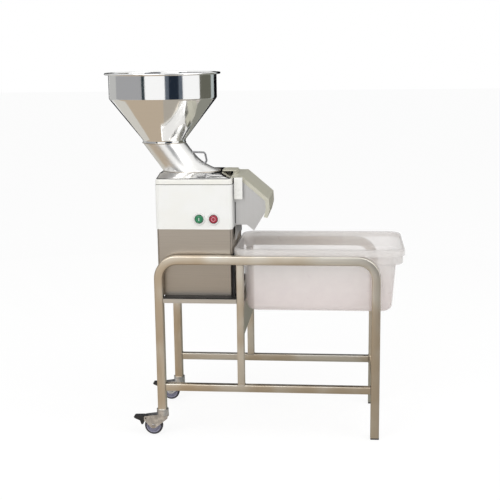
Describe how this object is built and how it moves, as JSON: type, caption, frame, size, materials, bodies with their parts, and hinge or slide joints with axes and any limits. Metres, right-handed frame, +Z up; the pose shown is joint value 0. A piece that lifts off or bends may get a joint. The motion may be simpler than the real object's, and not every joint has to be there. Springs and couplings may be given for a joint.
{
  "type": "vegetable_cutting_machine",
  "caption": "Floor-standing vegetable cutter: polished funnel on a slanting elbow over a white head, side chute and hood, translucent bin hung in a wheeled tube stand.",
  "frame": {"origin": "on the floor, under the middle of the overall box", "axes": "+Z up, +X along the stand from the machine to the bin, -Y the front with the push buttons"},
  "size_m": [1.051, 0.412, 1.27],
  "materials": {
    "stand_steel": "satin stainless tube, lightly brushed",
    "base_steel": "brushed stainless sheet",
    "head_white": "white enamel on a cast housing, semi-gloss",
    "lid_white": "white enamel on a cast lid, semi-gloss",
    "polished_steel": "polished stainless sheet",
    "elbow_steel": "satin stainless sheet",
    "chute_steel": "bead-blasted stainless plate",
    "hood_cover": "beige-grey painted sheet",
    "mat_rubber": "black rubber",
    "foot_rubber": "dark rubber",
    "tyre_rubber": "black rubber tyre",
    "wheel_hub": "grey-lavender moulded plastic",
    "pedal_black": "black moulded plastic",
    "zinc_steel": "zinc-plated pressed steel",
    "bin_plastic": "translucent pale polypropylene",
    "latch_white": "white moulded plastic",
    "start_green": "green plastic",
    "stop_red": "red plastic",
    "bezel_white": "white plastic",
    "cast_alloy": "cast aluminium",
    "steel_parts": "machined steel",
    "disc_steel": "polished stainless disc",
    "core_iron": "laminated iron core",
    "winding_copper": "varnished copper wire",
    "black_plastic": "black moulded plastic",
    "seal_rubber": "grey-black rubber"
  },
  "bodies": {
    "stand": {"front_side_frame": "stand_steel", "rear_side_frame": "stand_steel", "front_lower_rail": "stand_steel", "rear_lower_rail": "stand_steel", "front_mid_leg": "stand_steel", "rear_mid_leg": "stand_steel", "end_cross_rail": "stand_steel", "apron": "stand_steel", "tray": "stand_steel", "tray_mat": "mat_rubber", "leg_glides": "foot_rubber", "caster_sockets": "zinc_steel", "base_casing": "base_steel", "cable_gland": "black_plastic", "head_casing": "head_white", "disc_chamber": "cast_alloy", "shaft_seal": "seal_rubber", "drive_bearings": "steel_parts", "gearbox_housing": "cast_alloy", "stator_core": "core_iron", "stator_windings": "winding_copper", "end_shields": "cast_alloy", "motor_bearings": "steel_parts", "lid_seal": "seal_rubber", "hinge_brackets": "cast_alloy", "hinge_pin": "steel_parts", "outlet_chute": "chute_steel", "latch_pin": "steel_parts", "button_bezels": "bezel_white", "lid_switch": "black_plastic"},
    "front_caster": {"front_caster_fork": "zinc_steel", "front_caster_axle": "steel_parts"},
    "rear_caster": {"rear_caster_fork": "zinc_steel", "rear_caster_axle": "steel_parts"},
    "front_wheel": {"front_wheel_hub": "wheel_hub", "front_tyre": "tyre_rubber"},
    "rear_wheel": {"rear_wheel_hub": "wheel_hub", "rear_tyre": "tyre_rubber"},
    "front_brake": {"front_brake_pedal": "pedal_black"},
    "rear_brake": {"rear_brake_pedal": "pedal_black"},
    "collecting_bin": {"bin": "bin_plastic"},
    "lid_assembly": {"lid": "lid_white", "feed_pan": "polished_steel", "feed_elbow": "elbow_steel", "funnel": "polished_steel", "lift_handle": "polished_steel", "hood": "hood_cover"},
    "latch": {"lid_latch": "latch_white"},
    "start": {"start_button": "start_green"},
    "stop": {"stop_button": "stop_red"},
    "drive": {"drive_shaft": "steel_parts", "gear_wheel": "steel_parts", "ejector_disc": "cast_alloy", "slicing_disc": "disc_steel", "slicing_blades": "disc_steel", "disc_nut": "black_plastic"},
    "motor_rotor": {"rotor_shaft": "steel_parts", "rotor_core": "core_iron", "motor_pinion": "steel_parts", "motor_fan": "black_plastic"}
  },
  "joints": [
    {"name": "front_caster_swivel", "type": "hinge", "parent": "stand", "child": "front_caster", "pos_m": [-0.3215, -0.185, 0.08], "axis": [0, 0, 1], "continuous": true},
    {"name": "front_wheel_roll", "type": "hinge", "parent": "front_caster", "child": "front_wheel", "pos_m": [-0.3545, -0.185, 0.0325], "axis": [0, 1, 0], "continuous": true},
    {"name": "front_brake_press", "type": "hinge", "parent": "front_caster", "child": "front_brake", "pos_m": [-0.3815, -0.185, 0.062], "axis": [0, -1, 0], "range_deg": [0, 6], "stiffness_Nm_per_rad": 0.5},
    {"name": "rear_caster_swivel", "type": "hinge", "parent": "stand", "child": "rear_caster", "pos_m": [-0.3215, 0.185, 0.08], "axis": [0, 0, 1], "continuous": true},
    {"name": "rear_wheel_roll", "type": "hinge", "parent": "rear_caster", "child": "rear_wheel", "pos_m": [-0.3545, 0.185, 0.0325], "axis": [0, 1, 0], "continuous": true},
    {"name": "rear_brake_press", "type": "hinge", "parent": "rear_caster", "child": "rear_brake", "pos_m": [-0.3815, 0.185, 0.062], "axis": [0, -1, 0], "range_deg": [0, 6], "stiffness_Nm_per_rad": 0.5},
    {"name": "bin_slide", "type": "slide", "parent": "stand", "child": "collecting_bin", "axis": [1, 0, 0], "range_m": [0, 0.25]},
    {"name": "lid_open", "type": "hinge", "parent": "stand", "child": "lid_assembly", "pos_m": [-0.1975, 0.186, 0.9035], "axis": [-1, 0, 0], "range_deg": [0, 75]},
    {"name": "latch_open", "type": "hinge", "parent": "stand", "child": "latch", "pos_m": [-0.0455, -0.126, 0.849], "axis": [1, 0, 0], "range_deg": [0, 90]},
    {"name": "start_press", "type": "slide", "parent": "stand", "child": "start", "axis": [0, 1, 0], "range_m": [0, 0.004], "stiffness_N_per_m": 300},
    {"name": "stop_press", "type": "slide", "parent": "stand", "child": "stop", "axis": [0, 1, 0], "range_m": [0, 0.004], "stiffness_N_per_m": 300},
    {"name": "drive_spin", "type": "hinge", "parent": "stand", "child": "drive", "pos_m": [-0.1975, 0, 0.78], "axis": [0, 0, 1], "continuous": true},
    {"name": "motor_spin", "type": "hinge", "parent": "stand", "child": "motor_rotor", "pos_m": [-0.1975, 0.075, 0.62], "axis": [0, 0, 1], "continuous": true}
  ],
  "couplings": [
    {"joint": "motor_spin", "follows": "drive_spin", "ratio": -4}
  ]
}
